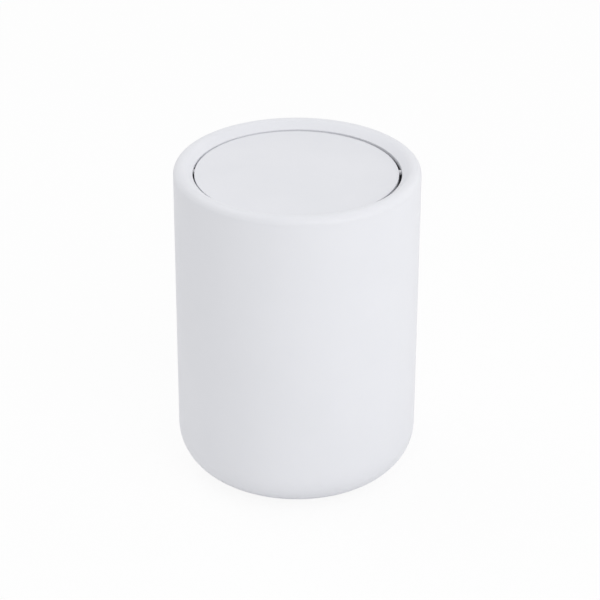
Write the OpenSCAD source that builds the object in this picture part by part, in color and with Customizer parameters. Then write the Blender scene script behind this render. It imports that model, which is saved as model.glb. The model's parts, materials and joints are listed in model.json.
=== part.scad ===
/* [Can] */
// Outer diameter of the can at its top
can_d = 140; // [124:1:180]
// Overall height, from the counter to the crest of the collar
can_h = 190; // [150:1:260]
// How much narrower the side is at the counter than at the top, on the diameter
side_draft = 1.6; // [0.4:0.2:4]
// Wall thickness of the can
can_wall = 2.2; // [1.8:0.2:3]
// Radius of the round bottom edge
base_round = 26; // [16:1:34]
// Diameter of the raised panel under the can
base_panel_d = 62; // [30:1:64]
// How far that panel is raised
base_panel_rise = 2; // [1:0.5:4]

/* [Collar] */
// Height of the collar's visible edge, from its crest to the seam
collar_edge_h = 5; // [5:0.5:10]
// Radius of the collar's outer edge
collar_edge_round = 4.5; // [3.5:0.5:4.5]
// How far the opening's edge lies below the crest
opening_drop = 4.2; // [3.8:0.1:4.4]
// Diameter of the opening
opening_d = 118.2; // [117.8:0.2:118.6]
// Thickness of the collar's skin
collar_wall = 2; // [1.6:0.2:2.2]
// Height of the lip round the opening
lip_h = 2.5; // [2:0.1:3]
// Depth of the spigot that slides into the can, from the seam
spigot_h = 14; // [13:1:20]
// Gap all round between the spigot and the can
spigot_gap = 0.3; // [0.2:0.05:0.4]

/* [Swing lid] */
// Diameter of the lid
lid_d = 115.5; // [115.2:0.1:115.8]
// How far the lid's top lies below the crest
lid_drop = 4.8; // [4.6:0.1:5.2]
// Thickness of the lid's top plate
lid_plate = 2; // [1.8:0.1:2.2]
// Height of the lid's rim
lid_rim_h = 8; // [7.8:0.1:8.2]
// Thickness of the lid's rim and of its underside pan
lid_wall = 1.6; // [1.4:0.1:1.8]
// How much the rim narrows towards its lower edge, on the radius
lid_rim_draft = 0.5; // [0.4:0.1:0.6]
// Rounding of the lid's top edge
lid_edge_round = 0.3; // [0.2:0.1:0.8]
// Diameter of the pan's flat floor
pan_floor_d = 84; // [80:1:86]
// How far the pan's floor hangs below the lid's rim
pan_drop = 6.8; // [5:0.2:9]
// How far the lid has moved to the left in its end play
lid_shift = 0.4; // [0:0.1:0.4]
// How far the lid's middle sits behind the middle of the opening
lid_back = 0.5; // [0:0.1:0.6]

/* [Pivot] */
// Diameter of the pivot pins
pin_d = 3.2; // [3:0.1:3.4]
// How far the pins sit behind the middle of the can
pivot_back = 6; // [4:0.5:8]
// How far the pins' axis is below the lid's top
pivot_drop = 2.4; // [2.4:0.1:2.6]
// Gap round a pin in its bearing
pin_gap = 0.05; // [0.03:0.01:0.08]
// Reach of the stop fin from the pin's axis
fin_reach = 4; // [3.6:0.1:4]
// Height above the axis of the roof that stops the fin
fin_roof = 0.6; // [0.55:0.01:0.7]

/* [Counterweight] */
// Length of the steel bar
weight_l = 39; // [36:1:44]
// Width of the steel bar
weight_w = 10; // [8.5:0.1:10]
// Thickness of the steel bar
weight_t = 4; // [3:0.1:5]
// Distance of the bar behind the middle of the lid
weight_back = 28.2; // [24:0.1:28.5]

/* [Feet] */
// Diameter of the foot pads
pad_d = 10; // [8:1:10]
// Thickness of the foot pads
pad_h = 1.6; // [1.2:0.1:2]
// How far the pads lift the can off the counter
pad_lift = 0.8; // [0.5:0.1:1]

/* [Hidden] */
$fn = 160;

white = "#f0f0f2";
warm_white = "#e6e6e8";
steel = "#9a9ea3";
pad_grey = "#8c8c8c";
over = 1;
embed = 0.5;

can_r = can_d / 2;
seam_z = can_h - collar_edge_h;
draft_angle = atan(side_draft / 2 / seam_z);
corner_z = pad_lift + base_round;
corner_r = can_r - side_draft / 2 + corner_z * tan(draft_angle) - base_round / cos(draft_angle);
can_bore_r = can_r - can_wall;
panel_r = base_panel_d / 2;

opening_r = opening_d / 2;
crest_r = can_r - collar_edge_round;
edge_z = can_h - collar_edge_round;
opening_edge_z = can_h - opening_drop;
dish_reach = crest_r - opening_r;
dish_fall = edge_z - opening_edge_z;
dish_angle = atan(dish_fall / dish_reach) + asin(collar_edge_round / norm([dish_reach, dish_fall]));
lip_t = 1.8;
lip_z = opening_edge_z - lip_h;
hollow_r = opening_r + lip_t;
roof_z = opening_edge_z + lip_t * tan(dish_angle) - lip_t / cos(dish_angle);
spigot_r = can_bore_r - spigot_gap;
spigot_in_r = spigot_r - collar_wall;
spigot_z = seam_z - spigot_h;
rib_t = 1.6;
rib_z = spigot_z + 5;

lid_r = lid_d / 2;
lid_z = can_h - lid_drop;
plate_z = lid_z - lid_plate;
lid_rim_z = lid_z - lid_rim_h;
rim_in_r = lid_r - lid_rim_draft - lid_wall;
pan_gap = 0.15;
pan_r = rim_in_r - pan_gap;
pan_floor_r = pan_floor_d / 2;
pan_slope = 4;
pan_floor_z = lid_rim_z - pan_drop;

axis_z = lid_z - pivot_drop;
lid_axis_y = pivot_back - lid_back;
bore_d = pin_d + 2 * pin_gap;
bearing_w = 12;
bearing_gap = 0.1;
bearing_h = 9;
bearing_top_z = min(axis_z + 2.2, roof_z);
bearing_z = bearing_top_z - bearing_h;
bearing_web_x = 62.3;
fin_w = 1.6;
fin_from = 62.8;
fin_to = 64.1;
pocket_gap = 0.25;
pin_from = 50.4;
notch_w = 3.8;

pad_ring_r = 37;
pad_gap = 0.1;
screw_d = 2.4;
screw_head_h = 1.4;
weight_screw_head_d = 7;
lid_screw_head_d = 4.4;
lid_screw_grip = 4;
screw_ring_r = 50.5;
screw_boss_d = 6;
post_d = 5;
post_spread = 26;
hole_ease = 0.04;

// The can's outer section, moved inward by the thickness given
module can_section(inset, top) {
    round_r = base_round - inset;
    polygon([
        [0, pad_lift + inset],
        [corner_r, pad_lift + inset],
        [corner_r + round_r * cos(draft_angle), corner_z - round_r * sin(draft_angle)],
        [can_r - inset / cos(draft_angle), seam_z],
        [can_r - inset / cos(draft_angle), top],
        [0, top]
    ]);
    translate([corner_r, corner_z]) circle(r = round_r);
}

module can_shell_section() {
    intersection() {
        difference() {
            can_section(0, seam_z);
            can_section(can_wall, seam_z + over);
        }
        square([can_d, can_h]);
    }
}

module at_feet(side_x, side_y) {
    translate([side_x * pad_ring_r * cos(45), side_y * pad_ring_r * sin(45), 0]) children();
}

// Round can with a raised panel underneath and four pockets for the foot pads
module bin_body() {
    color(white) difference() {
        union() {
            rotate_extrude() can_shell_section();
            cylinder(r = panel_r + can_wall, h = pad_lift + base_panel_rise + can_wall);
        }
        translate([0, 0, -over]) cylinder(r = panel_r, h = pad_lift + base_panel_rise + over);
        translate([0, 0, -over]) cylinder(r = panel_r + 2 * can_wall, h = pad_lift + over);
        for (side_x = [-1, 1], side_y = [-1, 1])
            at_feet(side_x, side_y) translate([0, 0, pad_lift - over])
                cylinder(d = pad_d, h = pad_h - pad_lift + over);
    }
}

module foot_pad(side_x, side_y) {
    color(pad_grey) at_feet(side_x, side_y) cylinder(d = pad_d - pad_gap, h = pad_h);
}

// Where the sloping dish leaves a round of the given radius on the collar's edge
function dish_point(round_r) = [
    crest_r - round_r * sin(dish_angle),
    edge_z + round_r * cos(dish_angle)
];

// The collar's section: rounded outer edge, straight slope down to the opening, lip, spigot
module collar_solid_section() {
    translate([crest_r, edge_z]) circle(r = collar_edge_round);
    translate([crest_r - over, seam_z]) square([collar_edge_round + over, edge_z - seam_z]);
    polygon([
        [opening_r, lip_z],
        [opening_r, opening_edge_z],
        dish_point(collar_edge_round),
        [crest_r, edge_z],
        [crest_r, lip_z]
    ]);
    translate([spigot_in_r, spigot_z]) square([collar_wall, seam_z - spigot_z]);
}

// The hollow under the dish, between the lip and the spigot
module collar_hollow_section() {
    roof_round = collar_edge_round - lip_t;
    low_z = spigot_z - over;
    intersection() {
        translate([hollow_r, low_z]) square([spigot_in_r - hollow_r, can_h]);
        union() {
            polygon([
                [hollow_r, low_z],
                [hollow_r, roof_z],
                dish_point(roof_round),
                [crest_r, edge_z],
                [can_r, edge_z],
                [can_r, low_z]
            ]);
            translate([crest_r, edge_z]) circle(r = roof_round);
        }
    }
}

module collar_skin() {
    rotate_extrude() difference() {
        collar_solid_section();
        collar_hollow_section();
        translate([spigot_r, spigot_z]) square([can_r, seam_z - spigot_z]);
    }
}

// A web under the dish, sunk a little into lip, skin and spigot; foot lists its lower corners
module web_section(foot) {
    top_point = dish_point(collar_edge_round - lip_t + embed);
    top_z = opening_edge_z + (lip_t - embed) * (tan(dish_angle) - 1 / cos(dish_angle));
    polygon(concat(foot, [
        [hollow_r - embed, lip_z + embed],
        [hollow_r - embed, top_z],
        top_point,
        [spigot_in_r + embed, top_point[1]]
    ]));
}

// Ten tapered ribs stiffen the dish
module collar_ribs() {
    foot_w = 1.5;
    intersection() {
        rotate_extrude() web_section([[spigot_in_r + embed, rib_z], [spigot_in_r - foot_w, rib_z]]);
        for (step = [1, 2, 3, 4, 5, 7, 8, 9, 10, 11])
            rotate(step * 30) translate([0, -rib_t / 2, 0]) cube([can_r, rib_t, can_h]);
    }
}

// Two cheeks hold a bearing on each side, with nibs that snap under it
module bearing_cheeks() {
    cheek_z = bearing_z - 2;
    nib_h = 1.2;
    nib_w = 1.2;
    nib_reach = 0.5;
    intersection() {
        rotate_extrude() web_section([
            [spigot_in_r + embed, cheek_z],
            [hollow_r, cheek_z],
            [hollow_r, lip_z + embed]
        ]);
        for (side_x = [-1, 1], side_y = [-1, 1]) {
            inner_y = pivot_back + side_y * (bearing_w / 2 + bearing_gap + rib_t / 2);
            translate([side_x * can_r / 2, inner_y, can_h / 2]) cube([can_r, rib_t, can_h], center = true);
            nib_y = pivot_back + side_y * (bearing_w / 2 + nib_w / 2 - nib_reach);
            translate([side_x * can_r / 2, nib_y, bearing_z - bearing_gap - nib_h / 2])
                cube([can_r, nib_w, nib_h], center = true);
        }
    }
}

// The notch in the lip that clears a pin
module pin_notch(side_x) {
    translate([side_x * (opening_r - over), pivot_back, axis_z])
        rotate([0, side_x * 90, 0]) cylinder(d = notch_w, h = lip_t + 2 * over);
}

// Dished ring with a lip and a spigot, open underneath
module top_collar() {
    color(white) difference() {
        union() {
            collar_skin();
            collar_ribs();
            bearing_cheeks();
        }
        for (side_x = [-1, 1]) pin_notch(side_x);
    }
}

// A ring that fits between lip and spigot, with the gap given on both sides
module hollow_ring(z_from, z_to, gap) {
    translate([0, 0, z_from]) difference() {
        cylinder(r = spigot_in_r - gap, h = z_to - z_from);
        translate([0, 0, -over]) cylinder(r = hollow_r + gap, h = z_to - z_from + 2 * over);
    }
}

// Bearing block: a short bore for the pin, and outside it a pocket that limits the fin
module bearing(side_x) {
    pocket_r = fin_reach + pocket_gap;
    color(warm_white) difference() {
        intersection() {
            hollow_ring(bearing_z, bearing_top_z, bearing_gap);
            translate([side_x * can_r / 2, pivot_back, can_h / 2])
                cube([can_r, bearing_w, can_h], center = true);
        }
        translate([0, pivot_back, axis_z]) rotate([0, side_x * 90, 0]) cylinder(d = bore_d, h = can_r);
        intersection() {
            translate([side_x * bearing_web_x, pivot_back, axis_z])
                rotate([0, side_x * 90, 0]) cylinder(r = pocket_r, h = collar_edge_h);
            translate([side_x * can_r / 2, pivot_back, axis_z + fin_roof - pocket_r])
                cube([can_d, 2 * pocket_r + over, 2 * pocket_r], center = true);
        }
    }
}

module lid_place() {
    translate([-lid_shift, lid_back, 0]) children();
}

// Stub pin with a fin that hangs down at its outer end
module pivot_pin(side_x) {
    color(white) lid_place() translate([0, lid_axis_y, axis_z]) {
        translate([side_x * pin_from, 0, 0]) rotate([0, side_x * 90, 0])
            cylinder(d = pin_d, h = fin_to - pin_from);
        translate([side_x * (fin_from + fin_to) / 2, 0, -fin_reach / 2])
            cube([fin_to - fin_from, fin_w, fin_reach], center = true);
    }
}

module at_lid_screws() {
    for (turn = [45:90:315])
        rotate(turn) translate([screw_ring_r, 0, 0]) children();
}

module lid_top_section() {
    difference() {
        union() {
            polygon([
                [0, lid_rim_z],
                [lid_r - lid_rim_draft, lid_rim_z],
                [lid_r, axis_z],
                [lid_r, lid_z - lid_edge_round],
                [lid_r - lid_edge_round, lid_z],
                [0, lid_z]
            ]);
            translate([lid_r - lid_edge_round, lid_z - lid_edge_round]) circle(r = lid_edge_round);
        }
        translate([0, lid_rim_z - over]) square([rim_in_r, plate_z - lid_rim_z + over]);
    }
}

// Flat top plate with a rim, pin bosses and screw bosses
module lid_top() {
    boss_z = lid_rim_z + lid_wall + 0.1;
    boss_w = 8;
    color(white) lid_place() difference() {
        union() {
            rotate_extrude() lid_top_section();
            at_lid_screws() translate([0, 0, boss_z]) cylinder(d = screw_boss_d, h = plate_z - boss_z + embed);
            intersection() {
                translate([0, 0, boss_z]) cylinder(r = rim_in_r + embed, h = plate_z - boss_z + embed);
                for (side_x = [-1, 1])
                    translate([side_x > 0 ? pin_from : -lid_r, lid_axis_y - boss_w / 2, boss_z])
                        cube([lid_r - pin_from, boss_w, can_h]);
            }
        }
        at_lid_screws() translate([0, 0, boss_z - over])
            cylinder(d = screw_d, h = lid_screw_grip + embed + over);
        for (side_x = [-1, 1])
            translate([side_x * pin_from, lid_axis_y, axis_z]) rotate([0, side_x * 90, 0])
                cylinder(d = pin_d + hole_ease, h = lid_r);
    }
}

module pan_section() {
    difference() {
        polygon([
            [0, pan_floor_z],
            [pan_floor_r, pan_floor_z],
            [pan_floor_r + pan_slope, lid_rim_z],
            [pan_r, lid_rim_z],
            [pan_r, lid_rim_z + lid_wall],
            [0, lid_rim_z + lid_wall]
        ]);
        polygon([
            [0, pan_floor_z + lid_wall],
            [pan_floor_r - lid_wall, pan_floor_z + lid_wall],
            [pan_floor_r + pan_slope - lid_wall, lid_rim_z + lid_wall],
            [pan_floor_r + pan_slope - lid_wall, lid_rim_z + lid_wall + over],
            [0, lid_rim_z + lid_wall + over]
        ]);
    }
}

module at_weight_posts() {
    for (side_x = [-1, 1])
        translate([side_x * post_spread / 2, weight_back, pan_floor_z + lid_wall]) children();
}

// Dished underside of the lid, with two posts for the counterweight
module lid_pan() {
    color(white) lid_place() difference() {
        union() {
            rotate_extrude() pan_section();
            at_weight_posts() translate([0, 0, -embed]) cylinder(d = post_d, h = weight_t + embed);
        }
        at_weight_posts() cylinder(d = screw_d, h = weight_t + over);
        at_lid_screws() translate([0, 0, lid_rim_z - over])
            cylinder(d = screw_d + 0.4, h = lid_wall + 2 * over);
    }
}

// Steel bar that slips over the two posts
module counterweight() {
    color(steel) lid_place() difference() {
        translate([-weight_l / 2, weight_back - weight_w / 2, pan_floor_z + lid_wall])
            cube([weight_l, weight_w, weight_t]);
        at_weight_posts() translate([0, 0, -over]) cylinder(d = post_d + 0.2, h = weight_t + 2 * over);
    }
}

// Pan-head screw standing on its head's seat, shank downward
module screw(head_d, shank_l) {
    slot_size = [head_d * 0.55, 0.6, 1.2];
    translate([0, 0, -shank_l]) cylinder(d = screw_d - hole_ease, h = shank_l + embed);
    difference() {
        cylinder(d = head_d, h = screw_head_h);
        for (turn = [0, 90])
            rotate(turn) translate([0, 0, screw_head_h]) cube(slot_size, center = true);
    }
}

module weight_screws() {
    tip_gap = 0.4;
    color(steel) lid_place() at_weight_posts() translate([0, 0, weight_t])
        screw(weight_screw_head_d, weight_t - tip_gap);
}

module lid_screws() {
    color(steel) lid_place() at_lid_screws() translate([0, 0, lid_rim_z]) mirror([0, 0, 1])
        screw(lid_screw_head_d, lid_wall + lid_screw_grip);
}

bin_body();
foot_pad(-1, -1);  // foot_pad_front_left
foot_pad(1, -1);  // foot_pad_front_right
foot_pad(-1, 1);  // foot_pad_rear_left
foot_pad(1, 1);  // foot_pad_rear_right
top_collar();
bearing(-1);  // bearing_left
bearing(1);  // bearing_right
lid_top();
lid_pan();
pivot_pin(-1);  // pivot_pin_left
pivot_pin(1);  // pivot_pin_right
counterweight();
weight_screws();
lid_screws();
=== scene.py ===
"""Small round countertop bin with a lift-off collar and a flat swing lid."""
import json
import math

import bmesh
import bpy
from mathutils import Matrix, Vector


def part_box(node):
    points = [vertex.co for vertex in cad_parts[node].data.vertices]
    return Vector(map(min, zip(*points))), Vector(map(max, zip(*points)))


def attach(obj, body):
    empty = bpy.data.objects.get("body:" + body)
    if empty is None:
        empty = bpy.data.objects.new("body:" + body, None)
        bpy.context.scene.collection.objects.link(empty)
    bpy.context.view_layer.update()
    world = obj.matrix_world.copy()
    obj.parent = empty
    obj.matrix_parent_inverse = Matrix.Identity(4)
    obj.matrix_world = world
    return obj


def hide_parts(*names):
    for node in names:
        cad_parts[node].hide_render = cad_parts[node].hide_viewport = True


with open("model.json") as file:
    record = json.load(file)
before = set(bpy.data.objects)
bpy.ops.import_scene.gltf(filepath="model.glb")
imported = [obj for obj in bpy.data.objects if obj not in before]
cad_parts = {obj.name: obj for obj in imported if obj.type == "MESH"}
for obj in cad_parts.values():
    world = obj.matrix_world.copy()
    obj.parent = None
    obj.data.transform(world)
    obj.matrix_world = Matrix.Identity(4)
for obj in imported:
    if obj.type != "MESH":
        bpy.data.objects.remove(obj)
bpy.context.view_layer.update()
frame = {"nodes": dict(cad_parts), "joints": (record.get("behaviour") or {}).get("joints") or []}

# ---- Sizes taken from the frame, in metres ----

MM = 0.001

can_low, can_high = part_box("bin_body")
collar_low, collar_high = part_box("top_collar")
bearing_low, bearing_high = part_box("bearing_right")
lid_low, lid_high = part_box("lid_top")
pan_low, pan_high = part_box("lid_pan")
bar_low, bar_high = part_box("counterweight")
pad_low, pad_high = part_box("foot_pad_front_right")

can_radius = (collar_high.x - collar_low.x) / 2
standing_height = can_low.z
seam_height = can_high.z
crest_height = collar_high.z
lid_middle = Vector(((lid_low.x + lid_high.x) / 2, (lid_low.y + lid_high.y) / 2, 0))
lid_radius = (lid_high.x - lid_low.x) / 2
lid_top_height = lid_high.z
rim_low_height = lid_low.z
pan_floor_height = pan_low.z
pan_flange_height = pan_high.z

swing = next(joint for joint in frame["joints"] if joint["name"] == "lid_swing")
pivot = Vector(swing["pos_m"])

# ---- Sizes of the mouldings ----

can_wall = 2.2 * MM
base_round = 26 * MM
side_draft = 0.8 * MM
panel_radius = 31 * MM
panel_rise = 2 * MM
seam_edge_round = 0.05 * MM

edge_round = 4.5 * MM
opening_radius = 59.1 * MM
opening_edge_height = crest_height - 4.2 * MM
lip_thickness = 1.8 * MM
lip_foot = opening_edge_height - 2.5 * MM
hollow_radius = opening_radius + lip_thickness
spigot_radius = 67.5 * MM
spigot_inner = spigot_radius - 2 * MM
rib_thickness = 1.6 * MM

dish_reach = can_radius - edge_round - opening_radius
dish_fall = crest_height - edge_round - opening_edge_height
dish_slope = math.atan(dish_fall / dish_reach) + math.asin(edge_round / math.hypot(dish_reach, dish_fall))

rim_draft = 0.5 * MM
lid_wall = 1.6 * MM
lid_plate = 2 * MM
pan_floor_radius = 42 * MM
pan_slope = 4 * MM
screw_ring = 50.5 * MM

# How far ribs, bosses and tubes run into the skin that carries them, and the gap between parts
overlap = 0.4 * MM
fit_gap = 0.1 * MM

boss_low = pan_flange_height + fit_gap
boss_high = lid_top_height - lid_plate + overlap

ROUND_STEPS = 288
SMALL_ROUND_STEPS = 48
CREASE_ANGLE = math.radians(32)


# ---- Drawing outlines ----

def arc(middle, radius, start, end, steps):
    """Points on a circular arc in the (radius, height) plane, angles in degrees."""
    points = []
    for step in range(steps + 1):
        angle = math.radians(start + (end - start) * step / steps)
        points.append((middle[0] + radius * math.cos(angle), middle[1] + radius * math.sin(angle)))
    return points


def rectangle(left, right, low, high):
    """The corners of a rectangle, once round."""
    return [(left, low), (right, low), (right, high), (left, high)]


def soften(outline, radii, steps=5):
    """Rounds the corners of an open outline; radii has one radius per inner corner."""
    softened = [outline[0]]
    for index, radius in enumerate(radii, start=1):
        if radius <= 0:
            softened.append(outline[index])
            continue
        here = Vector(outline[index])
        before = Vector(outline[index - 1]) - here
        after = Vector(outline[index + 1]) - here
        half_angle = before.angle(after) / 2
        reach = min(radius / math.tan(half_angle), before.length / 2, after.length / 2)
        first = here + before.normalized() * reach
        last = here + after.normalized() * reach
        for step in range(steps + 1):
            share = step / steps
            near = first.lerp(here, share)
            far = here.lerp(last, share)
            softened.append(tuple(near.lerp(far, share)))
    softened.append(outline[-1])
    return softened


# ---- Making meshes ----

def mesh_object(name, sheet):
    """Turns a bmesh into an object with smooth faces and sharp creases."""
    bmesh.ops.remove_doubles(sheet, verts=sheet.verts, dist=0.002 * MM)
    bmesh.ops.recalc_face_normals(sheet, faces=sheet.faces)
    mesh = bpy.data.meshes.new(name)
    sheet.to_mesh(mesh)
    sheet.free()
    mesh.shade_smooth()
    mesh.set_sharp_from_angle(angle=CREASE_ANGLE)
    piece = bpy.data.objects.new(name, mesh)
    bpy.context.scene.collection.objects.link(piece)
    return piece


def spin_outline(sheet, outline, closed=False, steps=ROUND_STEPS, place=Matrix.Identity(4)):
    """Sweeps an outline of (radius, height) points round the Z axis, then moves it to its place."""
    rings = []
    for radius, height in outline:
        if radius < 0.01 * MM:
            rings.append([sheet.verts.new(place @ Vector((0, 0, height)))])
            continue
        ring = []
        for step in range(steps):
            angle = 2 * math.pi * step / steps
            spot = Vector((radius * math.cos(angle), radius * math.sin(angle), height))
            ring.append(sheet.verts.new(place @ spot))
        rings.append(ring)
    pairs = list(zip(rings, rings[1:]))
    if closed:
        pairs.append((rings[-1], rings[0]))
    for lower, upper in pairs:
        if len(lower) == 1 and len(upper) == 1:
            continue
        for step in range(steps):
            following = (step + 1) % steps
            if len(lower) == 1:
                sheet.faces.new((lower[0], upper[following], upper[step]))
            elif len(upper) == 1:
                sheet.faces.new((lower[step], lower[following], upper[0]))
            else:
                sheet.faces.new((lower[step], lower[following], upper[following], upper[step]))


def add_plate(sheet, outline, thickness, place):
    """A flat plate with the outline's shape in its own (x, z) plane, centred on y."""
    sides = []
    for side in (-0.5, 0.5):
        corners = [Vector((x, side * thickness, z)) for x, z in outline]
        sides.append([sheet.verts.new(place @ corner) for corner in corners])
    sheet.faces.new(sides[0])
    sheet.faces.new(list(reversed(sides[1])))
    count = len(outline)
    for step in range(count):
        following = (step + 1) % count
        sheet.faces.new((sides[0][step], sides[1][step], sides[1][following], sides[0][following]))


def add_tube(sheet, spot, outer, inner, low, high):
    """A short upright tube."""
    outline = rectangle(inner, outer, low, high)
    spin_outline(sheet, outline, closed=True, steps=SMALL_ROUND_STEPS, place=Matrix.Translation(spot))


def pointing_out(start, side_x):
    """The place of a piece spun round the swing axis, from start outwards on its side."""
    turn = Matrix.Rotation(math.radians(90 * side_x), 4, "Y")
    return Matrix.Translation((start, pivot.y, pivot.z)) @ turn


def cut_away(piece, cutter):
    """Cuts one object out of another for good."""
    tool = piece.modifiers.new("cut", "BOOLEAN")
    tool.operation = "DIFFERENCE"
    tool.solver = "EXACT"
    tool.object = cutter
    graph = bpy.context.evaluated_depsgraph_get()
    trimmed = bpy.data.meshes.new_from_object(piece.evaluated_get(graph))
    piece.modifiers.clear()
    piece.data = trimmed
    trimmed.set_sharp_from_angle(angle=CREASE_ANGLE)
    bpy.data.objects.remove(cutter)


def finish_piece(piece, material, body, slot, *nodes):
    """Gives a piece its material, the body it moves with and the parts it stands for."""
    piece.data.materials.clear()
    piece.data.materials.append(material)
    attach(piece, body)
    if nodes:
        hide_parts(*nodes)


# ---- Shader helpers ----

class Nodes:
    """A node tree with short calls for adding and joining nodes."""

    def __init__(self, tree):
        self.tree = tree

    def add(self, kind, **settings):
        """Adds a node; a setting such as in_From_Min sets the input From Min."""
        node = self.tree.nodes.new(kind)
        for name, value in settings.items():
            if name.startswith("in_"):
                node.inputs[name[3:].replace("_", " ")].default_value = value
            else:
                setattr(node, name, value)
        return node

    def join(self, source, target):
        self.tree.links.new(source, target)

    def noise(self, coordinates, **settings):
        """A noise texture over the given coordinates."""
        texture = self.add("ShaderNodeTexNoise", **settings)
        self.join(coordinates, texture.inputs["Vector"])
        return texture

    def spread(self, value, low, high):
        """A range node that spreads values from low to high over 0 to 1."""
        spread = self.add("ShaderNodeMapRange", in_From_Min=low, in_From_Max=high)
        self.join(value, spread.inputs["Value"])
        return spread

    def blend(self, first, second, share):
        """Two numbers blended with a fixed share of the second."""
        mix = self.add("ShaderNodeMix", data_type="FLOAT", in_Factor=share)
        self.join(first, mix.inputs["A"])
        self.join(second, mix.inputs["B"])
        return mix.outputs["Result"]

    def tones(self, share, first, second):
        """Two colours mixed by a share that varies over the surface."""
        mix = self.add("ShaderNodeMix", data_type="RGBA")
        self.join(share, mix.inputs["Factor"])
        self.join(first, mix.inputs["A"])
        self.join(second, mix.inputs["B"])
        return mix.outputs["Result"]

    def ray_share(self, *rays):
        """One for any of the named kinds of ray, else zero."""
        path = self.add("ShaderNodeLightPath")
        share = path.outputs[rays[0]]
        for ray in rays[1:]:
            larger = self.add("ShaderNodeMath", operation="MAXIMUM")
            self.join(share, larger.inputs[0])
            self.join(path.outputs[ray], larger.inputs[1])
            share = larger.outputs["Value"]
        return share

    def mix_shaders(self, share, first, second):
        """Two shaders mixed by a share."""
        mix = self.add("ShaderNodeMixShader")
        self.join(share, mix.inputs["Fac"])
        self.join(first, mix.inputs[1])
        self.join(second, mix.inputs[2])
        return mix.outputs["Shader"]


def surface_group(name, inputs):
    """A node group with the given (name, default) inputs, roughness limits and a skin's outputs."""
    tree = bpy.data.node_groups.new(name, "ShaderNodeTree")
    for label, default in inputs + [("Roughness Low", 0.38), ("Roughness High", 0.5)]:
        kind = "NodeSocketColor" if isinstance(default, tuple) else "NodeSocketFloat"
        socket = tree.interface.new_socket(name=label, in_out="INPUT", socket_type=kind)
        socket.default_value = default
    tree.interface.new_socket(name="Color", in_out="OUTPUT", socket_type="NodeSocketColor")
    tree.interface.new_socket(name="Roughness", in_out="OUTPUT", socket_type="NodeSocketFloat")
    tree.interface.new_socket(name="Height", in_out="OUTPUT", socket_type="NodeSocketFloat")
    nodes = Nodes(tree)
    return tree, nodes, nodes.add("NodeGroupInput"), nodes.add("NodeGroupOutput")


def join_roughness(nodes, entry, out, spread):
    """Sends a range node's result, between the group's roughness limits, to its output."""
    nodes.join(entry.outputs["Roughness Low"], spread.inputs["To Min"])
    nodes.join(entry.outputs["Roughness High"], spread.inputs["To Max"])
    nodes.join(spread.outputs["Result"], out.inputs["Roughness"])


def moulded_surface_group():
    """Group: the skin of an injection moulding, with cloudy tone, fine grain and faint ripple."""
    tree, nodes, entry, out = surface_group(
        "moulded surface",
        [
            ("Light Tone", (0.8, 0.8, 0.8, 1)),
            ("Deep Tone", (0.75, 0.75, 0.75, 1)),
            ("Cloud Scale", 24.0),
            ("Grain Scale", 2600.0),
        ],
    )
    place = nodes.add("ShaderNodeTexCoord").outputs["Object"]
    cloud = nodes.noise(place, in_Detail=3.0, in_Roughness=0.55)
    nodes.join(entry.outputs["Cloud Scale"], cloud.inputs["Scale"])
    grain = nodes.noise(place, in_Detail=2.0, in_Roughness=0.6)
    nodes.join(entry.outputs["Grain Scale"], grain.inputs["Scale"])
    ripple = nodes.noise(place, in_Scale=160.0, in_Detail=1.0)

    cloud_share = nodes.spread(cloud.outputs["Fac"], 0.35, 0.65).outputs["Result"]
    tone = nodes.tones(cloud_share, entry.outputs["Light Tone"], entry.outputs["Deep Tone"])
    nodes.join(tone, out.inputs["Color"])

    sheen = nodes.blend(cloud.outputs["Fac"], grain.outputs["Fac"], 0.35)
    join_roughness(nodes, entry, out, nodes.spread(sheen, 0.3, 0.7))

    height = nodes.blend(grain.outputs["Fac"], ripple.outputs["Fac"], 0.3)
    nodes.join(height, out.inputs["Height"])
    return tree


def drawn_steel_group():
    """Group: drawn or turned steel, with fine streaks and a few dull spots."""
    tree, nodes, entry, out = surface_group(
        "drawn steel",
        [
            ("Bright Tone", (0.6, 0.6, 0.62, 1)),
            ("Dull Tone", (0.4, 0.4, 0.41, 1)),
            ("Streak Scale", 900.0),
        ],
    )
    place = nodes.add("ShaderNodeTexCoord").outputs["Object"]
    stretch = nodes.add("ShaderNodeMapping", in_Scale=(0.05, 1.0, 1.0))
    nodes.join(place, stretch.inputs["Vector"])
    streak = nodes.noise(stretch.outputs["Vector"], in_Detail=4.0, in_Roughness=0.65)
    nodes.join(entry.outputs["Streak Scale"], streak.inputs["Scale"])
    spots = nodes.noise(place, in_Scale=260.0, in_Detail=2.0)

    dulling = nodes.blend(streak.outputs["Fac"], spots.outputs["Fac"], 0.5)
    share = nodes.spread(dulling, 0.35, 0.65).outputs["Result"]
    tone = nodes.tones(share, entry.outputs["Bright Tone"], entry.outputs["Dull Tone"])
    nodes.join(tone, out.inputs["Color"])
    join_roughness(nodes, entry, out, nodes.spread(share, 0.0, 1.0))
    nodes.join(streak.outputs["Fac"], out.inputs["Height"])
    return tree


moulded_surface = moulded_surface_group()
drawn_steel = drawn_steel_group()


def new_material(name):
    """An empty material with its node helper, its Principled shader and its output."""
    material = bpy.data.materials.new(name)
    material.use_nodes = True
    material.node_tree.nodes.clear()
    nodes = Nodes(material.node_tree)
    shader = nodes.add("ShaderNodeBsdfPrincipled")
    out = nodes.add("ShaderNodeOutputMaterial")
    nodes.join(shader.outputs["BSDF"], out.inputs["Surface"])
    return material, nodes, shader, out


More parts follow.
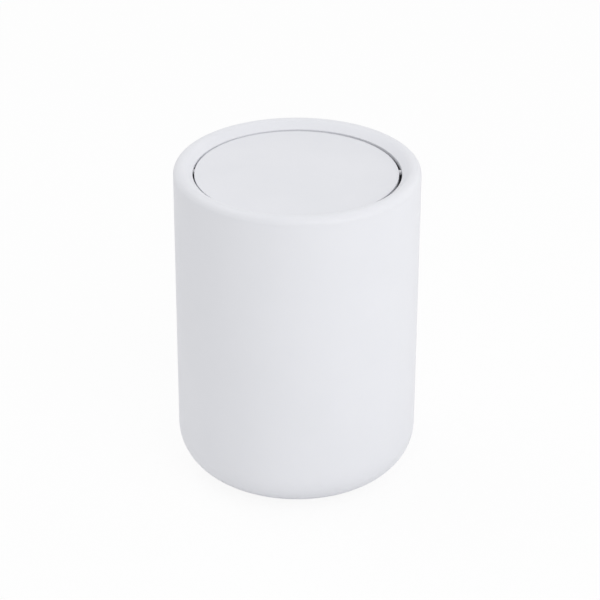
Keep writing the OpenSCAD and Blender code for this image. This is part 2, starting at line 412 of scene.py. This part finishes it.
def grouped_material(name, group, values, relief, metallic=0.0, specular=0.5):
    """A material whose tone, roughness and fine relief come from a surface group."""
    material, nodes, shader, _ = new_material(name)
    surface = nodes.add("ShaderNodeGroup", node_tree=group)
    for socket, value in values.items():
        surface.inputs[socket].default_value = value
    bump = nodes.add("ShaderNodeBump", in_Strength=1.0, in_Distance=relief)
    nodes.join(surface.outputs["Height"], bump.inputs["Height"])
    nodes.join(surface.outputs["Color"], shader.inputs["Base Color"])
    nodes.join(surface.outputs["Roughness"], shader.inputs["Roughness"])
    nodes.join(bump.outputs["Normal"], shader.inputs["Normal"])
    shader.inputs["Metallic"].default_value = metallic
    shader.inputs["Specular IOR Level"].default_value = specular
    return material


def white_moulding(name, light, deep, cloud, roughness):
    """White injection-moulded plastic: two tones, scale of their clouds, roughness limits."""
    values = {
        "Light Tone": (*light, 1),
        "Deep Tone": (*deep, 1),
        "Cloud Scale": cloud,
        "Roughness Low": roughness[0],
        "Roughness High": roughness[1],
    }
    return grouped_material(name, moulded_surface, values, relief=0.012 * MM)


def steel(name, bright, dull, streak, relief):
    """Drawn steel: two tones, scale of its streaks, depth of its relief."""
    values = {
        "Bright Tone": (*bright, 1),
        "Dull Tone": (*dull, 1),
        "Streak Scale": streak,
        "Roughness Low": 0.28,
        "Roughness High": 0.5,
    }
    return grouped_material(name, drawn_steel, values, relief, metallic=1.0)


can_white = white_moulding(
    "can white", (0.796, 0.803, 0.840), (0.784, 0.792, 0.829), 22.0, (0.4, 0.5)
)
collar_white = white_moulding(
    "collar white", (0.796, 0.803, 0.840), (0.788, 0.796, 0.833), 30.0, (0.38, 0.48)
)
lid_white = white_moulding(
    "lid white", (0.792, 0.799, 0.836), (0.780, 0.788, 0.825), 26.0, (0.42, 0.52)
)
pin_white = white_moulding("pin white", (0.78, 0.78, 0.80), (0.74, 0.74, 0.76), 90.0, (0.3, 0.42))
bearing_white = white_moulding("bearing white", (0.74, 0.74, 0.73), (0.7, 0.7, 0.69), 120.0, (0.3, 0.4))
screw_steel = steel("screw steel", (0.66, 0.67, 0.69), (0.5, 0.51, 0.53), 1800.0, 0.006 * MM)
bar_steel = steel("bar steel", (0.5, 0.5, 0.51), (0.32, 0.32, 0.33), 700.0, 0.02 * MM)
pad_grey = grouped_material(
    "pad grey", moulded_surface,
    {
        "Light Tone": (0.42, 0.42, 0.43, 1),
        "Deep Tone": (0.34, 0.34, 0.35, 1),
        "Cloud Scale": 300.0,
        "Grain Scale": 3800.0,
        "Roughness Low": 0.7,
        "Roughness High": 0.88,
    },
    relief=0.04 * MM, specular=0.35,
)


# ---- The can ----

def can_underside(round_start):
    """The can's face underneath, from the gate mark in its middle to the rounded edge."""
    panel_height = standing_height + panel_rise
    stub_radius = 1.2 * MM
    stub_height = panel_height - 0.25 * MM
    gate_radius = 5 * MM
    gate_height = panel_height + 0.5 * MM
    gate_slope = 0.4 * MM
    return soften(
        [
            (0, stub_height),
            (stub_radius, stub_height),
            (stub_radius + gate_slope, gate_height),
            (gate_radius, gate_height),
            (gate_radius + gate_slope, panel_height),
            (panel_radius, panel_height),
            (panel_radius, standing_height),
            (round_start, standing_height),
        ],
        [0.15 * MM, 0.2 * MM, 0.2 * MM, 0.2 * MM, 0.8 * MM, 0.5 * MM],
    )


def can_outline():
    """The can's section, from the middle underneath to the middle of its floor."""
    lean = math.atan(side_draft / seam_height)
    round_height = standing_height + base_round
    side_foot = can_radius - side_draft + round_height * math.tan(lean)
    round_middle = (side_foot - base_round / math.cos(lean), round_height)
    outer_round = arc(round_middle, base_round, -90, -math.degrees(lean), 40)
    top_edge = soften(
        [
            outer_round[-1],
            (can_radius, seam_height),
            (can_radius - can_wall, seam_height),
            (can_radius - can_wall - side_draft / 2, (seam_height + round_height) / 2),
        ],
        [seam_edge_round, 0.4 * MM],
    )
    inner_round = arc(round_middle, base_round - can_wall, -math.degrees(lean), -90, 32)
    floor_height = standing_height + can_wall
    floor = soften(
        [
            inner_round[-1],
            (panel_radius + can_wall, floor_height),
            (panel_radius + can_wall, floor_height + panel_rise),
            (0, floor_height + panel_rise),
        ],
        [0.6 * MM, 0.8 * MM],
    )
    return can_underside(round_middle[0]) + outer_round[1:] + top_edge[1:-1] + inner_round + floor[1:]


def make_can():
    sheet = bmesh.new()
    spin_outline(sheet, can_outline())
    finish_piece(mesh_object("can_shell", sheet), can_white, "bin", "can_plastic", "bin_body")


# ---- The foot pads ----

def pad_outline():
    """A pad's section, with three ring grooves in its lower face."""
    radius = (pad_high.x - pad_low.x) / 2
    thickness = pad_high.z - pad_low.z
    groove_depth = 0.3 * MM
    groove_slope = 0.15 * MM
    groove_width = 0.6 * MM
    edge = 0.4 * MM
    outline = [(0, 0)]
    for groove in range(3):
        start = (2 * groove + 1) * groove_width
        outline += [
            (start, 0),
            (start + groove_slope, groove_depth),
            (start + groove_width - groove_slope, groove_depth),
            (start + groove_width, 0),
        ]
    outline += arc((radius - edge, edge), edge, -90, 0, 6)
    return outline + [(radius, thickness), (0, thickness)]


def make_pads():
    middle = (pad_low + pad_high) / 2
    for end, side_y in (("front", 1), ("rear", -1)):
        for hand, side_x in (("left", -1), ("right", 1)):
            spot = Vector((side_x * middle.x, side_y * middle.y, pad_low.z))
            sheet = bmesh.new()
            spin_outline(sheet, pad_outline(), steps=64, place=Matrix.Translation(spot))
            pad = mesh_object("grip_pad_" + end + "_" + hand, sheet)
            finish_piece(pad, pad_grey, "bin", "pad_rubber", "foot_pad_" + end + "_" + hand)


# ---- The collar ----

def height_under_dish(depth):
    """The height of the point that lies depth under the dish and depth behind the lip's face."""
    return opening_edge_height + depth * (math.tan(dish_slope) - 1 / math.cos(dish_slope))


def collar_outline():
    """The collar's hollow section, once round."""
    edge_middle = (can_radius - edge_round, crest_height - edge_round)
    dish_end = 90 + math.degrees(dish_slope)
    outer_edge = arc(edge_middle, edge_round, 0, dish_end, 36)
    roof = arc(edge_middle, edge_round - lip_thickness, dish_end, 90, 12)
    lip_round = 0.3 * MM
    inside = soften(
        [
            outer_edge[-1],
            (opening_radius, opening_edge_height),
            (opening_radius, lip_foot),
            (hollow_radius, lip_foot),
            (hollow_radius, height_under_dish(lip_thickness)),
            roof[0],
        ],
        [lip_round] * 4,
        steps=8,
    )
    spigot = soften(
        [
            roof[-1],
            (spigot_inner, collar_low.z),
            (spigot_radius, collar_low.z),
            (spigot_radius, seam_height),
            (can_radius, seam_height),
            (can_radius, seam_height + 0.4 * MM),
        ],
        [0.5 * MM, 0.7 * MM, 0.0, seam_edge_round],
    )
    return outer_edge[:-1] + inside + roof[1:-1] + spigot


def notch_cutter(side_x):
    """A round bar that cuts the notch in the lip for a pin."""
    radius = 1.9 * MM
    start = opening_radius - 1 * MM
    length = lip_thickness + 1.6 * MM
    outline = [(0, 0), (radius, 0), (radius, length), (0, length)]
    sheet = bmesh.new()
    spin_outline(sheet, outline, steps=SMALL_ROUND_STEPS, place=pointing_out(side_x * start, side_x))
    return mesh_object("notch_cutter", sheet)


def web_outline(foot):
    """A web's side view under the dish; foot lists its lower corners from the spigot inwards."""
    round_left = edge_round - lip_thickness + overlap
    top = (
        can_radius - edge_round - round_left * math.sin(dish_slope),
        crest_height - edge_round + round_left * math.cos(dish_slope),
    )
    inner = hollow_radius - overlap
    inner_height = height_under_dish(lip_thickness - overlap)
    return foot + [(inner, lip_foot + overlap), (inner, inner_height), top, (spigot_inner + overlap, top[1])]


def make_collar_ring():
    sheet = bmesh.new()
    spin_outline(sheet, collar_outline(), closed=True)
    ring = mesh_object("collar_ring", sheet)
    for side_x in (-1, 1):
        cut_away(ring, notch_cutter(side_x))
    finish_piece(ring, collar_white, "collar", "collar_plastic", "top_collar")


def make_collar_ribs():
    """Tapered ribs every 30 degrees, except where the bearings are."""
    rib_low = collar_low.z + 5 * MM
    foot_width = 1.5 * MM
    outline = web_outline([(spigot_inner + overlap, rib_low), (spigot_inner - foot_width, rib_low)])
    sheet = bmesh.new()
    for step in (1, 2, 3, 4, 5, 7, 8, 9, 10, 11):
        add_plate(sheet, outline, rib_thickness, Matrix.Rotation(math.radians(30 * step), 4, "Z"))
    finish_piece(mesh_object("collar_ribs", sheet), collar_white, "collar", "collar_plastic")


def make_bearing_holders():
    """Two cheeks beside each bearing, with the nibs that it snaps over."""
    bearing_side = (bearing_high.y - bearing_low.y) / 2 + fit_gap
    spigot_side = spigot_inner + overlap
    nib = 1.2 * MM
    nib_top = bearing_low.z - fit_gap
    cheek_low = bearing_low.z - 2 * MM
    cheek_foot = [(spigot_side, cheek_low), (hollow_radius, cheek_low), (hollow_radius, lip_foot + overlap)]
    plates = (
        (web_outline(cheek_foot), bearing_side + rib_thickness / 2, rib_thickness),
        (rectangle(hollow_radius, spigot_side, nib_top - nib, nib_top), bearing_side, nib),
    )
    sheet = bmesh.new()
    for side_x in (-1, 1):
        turn = Matrix.Rotation(0 if side_x > 0 else math.pi, 4, "Z")
        for side_y in (-1, 1):
            for outline, reach, thickness in plates:
                offset = pivot.y + side_y * reach
                inward = spigot_inner - math.sqrt(spigot_inner ** 2 - offset ** 2)
                place = turn @ Matrix.Translation((-inward, side_x * offset, 0))
                add_plate(sheet, outline, thickness, place)
    finish_piece(mesh_object("bearing_holders", sheet), collar_white, "collar", "collar_plastic")


# ---- The swing lid ----

def lid_outline():
    """The lid's top plate and rim, from the middle on top to the middle of its hollow."""
    top_round = 0.3 * MM
    foot_radius = lid_radius - rim_draft
    inner_radius = foot_radius - lid_wall
    plate_height = lid_top_height - lid_plate
    top_edge = arc((lid_radius - top_round, lid_top_height - top_round), top_round, 90, 0, 10)
    rim = soften(
        [
            (lid_radius, pivot.z),
            (foot_radius, rim_low_height),
            (inner_radius, rim_low_height),
            (inner_radius, plate_height),
            (0, plate_height),
        ],
        [0.35 * MM, 0.2 * MM, 0.5 * MM],
    )
    return [(0, lid_top_height)] + top_edge + rim


def pan_outline():
    """The dished underside of the lid, both faces."""
    flange_radius = lid_radius - rim_draft - lid_wall - 0.15 * MM
    slope_top = pan_floor_radius + pan_slope
    return soften(
        [
            (0, pan_floor_height),
            (pan_floor_radius, pan_floor_height),
            (slope_top, rim_low_height),
            (flange_radius, rim_low_height),
            (flange_radius, pan_flange_height),
            (slope_top - lid_wall, pan_flange_height),
            (pan_floor_radius - lid_wall, pan_floor_height + lid_wall),
            (0, pan_floor_height + lid_wall),
        ],
        [2.5 * MM, 1.5 * MM, 0.2 * MM, 0.2 * MM, 1.5 * MM, 1.2 * MM],
        steps=8,
    )


def lid_screw_spots():
    """The four places of the lid's screws, at height zero."""
    spots = []
    for turn in range(4):
        angle = math.radians(45 + 90 * turn)
        spots.append(lid_middle + Vector((math.cos(angle), math.sin(angle), 0)) * screw_ring)
    return spots


def make_lid_top():
    """Top plate and rim, with a tube for each screw."""
    sheet = bmesh.new()
    spin_outline(sheet, lid_outline(), place=Matrix.Translation(lid_middle))
    for spot in lid_screw_spots():
        add_tube(sheet, spot, 3 * MM, 1.2 * MM, boss_low, boss_high)
    finish_piece(mesh_object("swing_lid", sheet), lid_white, "lid", "lid_plastic", "lid_top")


def make_lid_pan():
    """The underside, with a tube for each screw of the counterweight."""
    sheet = bmesh.new()
    spin_outline(sheet, pan_outline(), place=Matrix.Translation(lid_middle))
    bar_middle = (bar_low + bar_high) / 2
    tube_reach = 13 * MM
    for side_x in (-1, 1):
        spot = Vector((bar_middle.x + side_x * tube_reach, bar_middle.y, 0))
        add_tube(sheet, spot, 2.5 * MM, 1.2 * MM, bar_low.z - overlap, bar_high.z)
    finish_piece(mesh_object("lid_underside", sheet), lid_white, "lid", "lid_plastic", "lid_pan")


def pin_box(side_x):
    """The name of the pin on one side, with its box's corners."""
    name = "pivot_pin_right" if side_x > 0 else "pivot_pin_left"
    return name, *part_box(name)


def make_pin_bosses():
    """The blocks inside the rim that hold the pins."""
    width = 8 * MM
    rim_reach = lid_radius - rim_draft - lid_wall + overlap
    outer_reach = math.sqrt(rim_reach ** 2 - width ** 2)
    sheet = bmesh.new()
    for side_x in (-1, 1):
        _, low, high = pin_box(side_x)
        inner = low.x if side_x > 0 else high.x
        outer = lid_middle.x + side_x * outer_reach
        outline = rectangle(inner, outer, boss_low, boss_high)
        add_plate(sheet, outline, width, Matrix.Translation((0, pivot.y, 0)))
    finish_piece(mesh_object("pin_bosses", sheet), lid_white, "lid", "lid_plastic")


def make_pin(side_x):
    """A stub pin along X with a stop fin at its outer end."""
    name, low, high = pin_box(side_x)
    radius = (high.y - low.y) / 2
    length = high.x - low.x
    chamfer = 0.35 * MM
    outline = [(0, 0), (radius - chamfer, 0), (radius, chamfer), (radius, length - chamfer)]
    outline += [(radius - chamfer, length), (0, length)]
    inner_end = low.x if side_x > 0 else high.x
    outer_end = high.x if side_x > 0 else low.x
    sheet = bmesh.new()
    spin_outline(sheet, outline, steps=SMALL_ROUND_STEPS, place=pointing_out(inner_end, side_x))
    fin_length = 1.3 * MM
    fin_width = 1.6 * MM
    fin = rectangle(-fin_length / 2, fin_length / 2, low.z - pivot.z, 0)
    fin_middle = outer_end - side_x * fin_length / 2
    add_plate(sheet, fin, fin_width, Matrix.Translation((fin_middle, pivot.y, pivot.z)))
    finish_piece(mesh_object(name + "_turned", sheet), pin_white, "lid", "pin_plastic", name)


def make_lid_screws():
    """Pan-head screws under the lid, each with a crossed recess."""
    head_radius = 2.2 * MM
    head_height = 1.4 * MM
    head_edge = 0.9 * MM
    shank_radius = 1.18 * MM
    shank_length = 5.4 * MM
    outline = [(0, -head_height)]
    outline += arc((head_radius - head_edge, head_edge - head_height), head_edge, -90, 0, 8)
    outline += [(head_radius, 0), (shank_radius, 0), (shank_radius, shank_length), (0, shank_length)]
    recess_arm = 1.25 * MM
    recess_width = 0.55 * MM
    recess_end = 0.7 * recess_arm
    recess_low = -2 * MM
    recess_high = -0.5 * MM
    recess = [(-recess_arm, recess_low), (recess_arm, recess_low)]
    recess += [(recess_end, recess_high), (-recess_end, recess_high)]
    screws = bmesh.new()
    cutters = bmesh.new()
    for number, spot in enumerate(lid_screw_spots()):
        place = Matrix.Translation((spot.x, spot.y, rim_low_height))
        spin_outline(screws, outline, steps=SMALL_ROUND_STEPS, place=place)
        for turn in (0, 90):
            spin = Matrix.Rotation(math.radians(turn + 20 * number), 4, "Z")
            add_plate(cutters, recess, recess_width, place @ spin)
    piece = mesh_object("underside_screws", screws)
    cut_away(piece, mesh_object("recess_cutter", cutters))
    finish_piece(piece, screw_steel, "lid", "screw_steel", "lid_screws")


def dress_hidden_parts():
    """Materials for the parts that keep their own solids."""
    finishes = {
        "bearing_left": bearing_white,
        "bearing_right": bearing_white,
        "counterweight": bar_steel,
        "weight_screws": screw_steel,
    }
    for node, material in finishes.items():
        for slot in frame["nodes"][node].material_slots:
            slot.material = material


# ---- Floor, light and camera ----

def make_floor():
    """A pale floor that the camera sees nearly white, with a little of its shadow left."""
    reach = 12.0
    white_share = 0.9
    sheet = bmesh.new()
    bmesh.ops.create_grid(sheet, x_segments=1, y_segments=1, size=reach)
    floor = mesh_object("studio_floor", sheet)
    material, nodes, shader, out = new_material("studio floor")
    shader.inputs["Base Color"].default_value = (0.94, 0.94, 0.94, 1)
    shader.inputs["Roughness"].default_value = 0.9
    shader.inputs["Specular IOR Level"].default_value = 0.0
    white = nodes.add("ShaderNodeEmission", in_Color=(1, 1, 1, 1), in_Strength=1.0)
    share = nodes.add("ShaderNodeMath", operation="MULTIPLY")
    nodes.join(nodes.ray_share("Is Camera Ray", "Is Transmission Ray"), share.inputs[0])
    share.inputs[1].default_value = white_share
    mix = nodes.mix_shaders(share.outputs["Value"], shader.outputs["BSDF"], white.outputs["Emission"])
    nodes.join(mix, out.inputs["Surface"])
    floor.data.materials.append(material)


def make_world():
    """Even room light, and white where the camera or a reflection looks past the floor."""
    ambient = 0.674
    world = bpy.data.worlds.new("studio")
    bpy.context.scene.world = world
    world.use_nodes = True
    world.node_tree.nodes.clear()
    nodes = Nodes(world.node_tree)
    room = nodes.add("ShaderNodeBackground", in_Color=(1, 1, 1, 1), in_Strength=ambient)
    white = nodes.add("ShaderNodeBackground", in_Color=(1, 1, 1, 1), in_Strength=1.0)
    seen = nodes.ray_share("Is Camera Ray", "Is Glossy Ray", "Is Transmission Ray")
    out = nodes.add("ShaderNodeOutputWorld")
    mix = nodes.mix_shaders(seen, room.outputs["Background"], white.outputs["Background"])
    nodes.join(mix, out.inputs["Surface"])


def soft_lamp(name, azimuth, elevation, size, power):
    """A square soft lamp; azimuth runs from the front to the right, in degrees, as elevation does."""
    distance = 1.7
    centre = Vector((0, 0, 0.18))
    target = Vector((0, 0, crest_height / 2))
    turn = math.radians(azimuth)
    rise = math.radians(elevation)
    level = math.cos(rise)
    place = centre + distance * Vector((level * math.sin(turn), -level * math.cos(turn), math.sin(rise)))
    data = bpy.data.lights.new(name, "AREA")
    data.shape = "SQUARE"
    data.size = size
    data.energy = power
    lamp = bpy.data.objects.new(name, data)
    bpy.context.scene.collection.objects.link(lamp)
    lamp.location = place
    lamp.rotation_mode = "QUATERNION"
    lamp.rotation_quaternion = (target - place).to_track_quat("-Z", "Y")
    lamp.visible_camera = False


def make_lamps():
    soft_lamp("front_softbox", 20, 45, 1.0, 4.7)
    soft_lamp("right_softbox", 50, 12, 1.0, 4.7)
    soft_lamp("back_right_softbox", 120, 20, 1.2, 2.6)
    soft_lamp("back_left_softbox", 240, 55, 1.2, 5.0)


def make_camera():
    """The photograph's view: a long lens in front, looking down at about 28 degrees."""
    photo_width = 600
    focal_pixels = 2666.1
    elevation = 0.4829
    roll = 0.0037
    distance = 22 * can_radius
    aim_right = 0.0251 * can_radius
    aim_below_crest = 1.2225 * can_radius
    data = bpy.data.cameras.new("photo_camera")
    data.sensor_width = 36
    data.lens = focal_pixels / photo_width * data.sensor_width
    data.clip_start = 0.05
    data.clip_end = 60
    camera = bpy.data.objects.new("photo_camera", data)
    bpy.context.scene.collection.objects.link(camera)
    target = Vector((aim_right, 0, crest_height - aim_below_crest))
    back = Vector((0, -math.cos(elevation), math.sin(elevation)))
    tilt = Matrix.Rotation(math.pi / 2 - elevation, 4, "X")
    spin = Matrix.Rotation(roll, 4, "Z")
    camera.matrix_world = Matrix.Translation(target + back * distance) @ tilt @ spin
    bpy.context.scene.camera = camera


make_camera()
make_world()
make_lamps()
make_floor()
make_can()
make_pads()
make_collar_ring()
make_collar_ribs()
make_bearing_holders()
make_lid_top()
make_lid_pan()
make_pin_bosses()
for side in (-1, 1):
    make_pin(side)
make_lid_screws()
dress_hidden_parts()

bpy.context.scene.view_settings.view_transform = "Standard"
